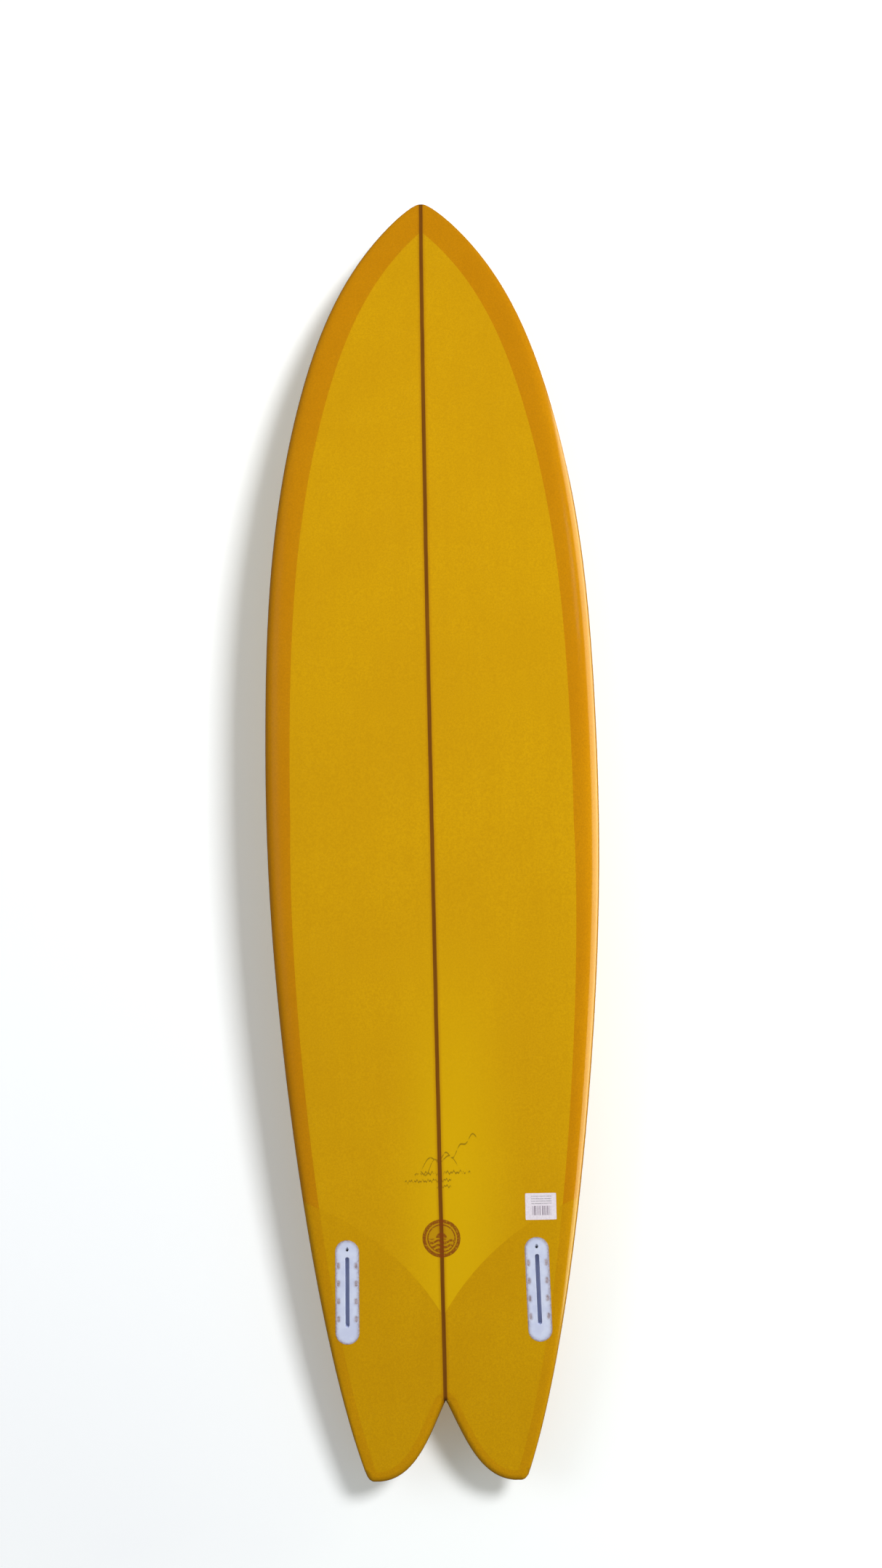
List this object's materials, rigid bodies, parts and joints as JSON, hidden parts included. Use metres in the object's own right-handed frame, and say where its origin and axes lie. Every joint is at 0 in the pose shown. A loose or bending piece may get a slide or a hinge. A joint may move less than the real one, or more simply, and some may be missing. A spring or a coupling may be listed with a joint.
{
  "type": "surfboard",
  "caption": "Mid-length surfboard with a swallow tail: foam core, wooden stringer, tinted glass, slotted fin boxes with clamp screws and a leash plug.",
  "frame": {"origin": "on the deck, on the centre line, halfway between the nose and the tail tips", "axes": "+Z from the tail to the nose, +Y out of the deck, +X to the right when the bottom is looked at with the nose up"},
  "size_m": [0.5464, 0.1318, 2.134],
  "materials": {
    "foam": "matte",
    "stringer_wood": "matte",
    "glue": "satin",
    "tinted_glass": "gloss",
    "deck_glass": "gloss",
    "patch_glass": "gloss",
    "clear_coat": "gloss",
    "white_plastic": "satin",
    "bed_resin": "gloss",
    "screw_steel": "satin",
    "label_paper": "matte",
    "decal_tissue": "matte"
  },
  "bodies": {
    "board": {"foam_half_left": "foam", "foam_half_right": "foam", "stringer": "stringer_wood", "stringer_glue_left": "glue", "stringer_glue_right": "glue", "bottom_laminate": "tinted_glass", "deck_laminate": "deck_glass", "deck_patch": "tinted_glass", "tail_patch_left": "patch_glass", "tail_patch_right": "patch_glass", "bottom_hot_coat": "clear_coat", "fin_box_left": "white_plastic", "fin_box_right": "white_plastic", "fin_box_resin_left": "bed_resin", "fin_box_resin_right": "bed_resin", "leash_plug_cup": "white_plastic", "leash_plug_bar": "screw_steel", "leash_plug_resin": "bed_resin", "price_label": "label_paper", "maker_decal": "decal_tissue"},
    "screw_left": {"fin_screw_left": "screw_steel"},
    "screw_right": {"fin_screw_right": "screw_steel"}
  },
  "joints": [
    {"name": "screw_left_travel", "type": "slide", "parent": "board", "child": "screw_left", "axis": [-0.0148, 0.7535, -0.6573], "range_m": [0, 0.008]},
    {"name": "screw_right_travel", "type": "slide", "parent": "board", "child": "screw_right", "axis": [0.0148, 0.7535, -0.6573], "range_m": [0, 0.008]}
  ]
}
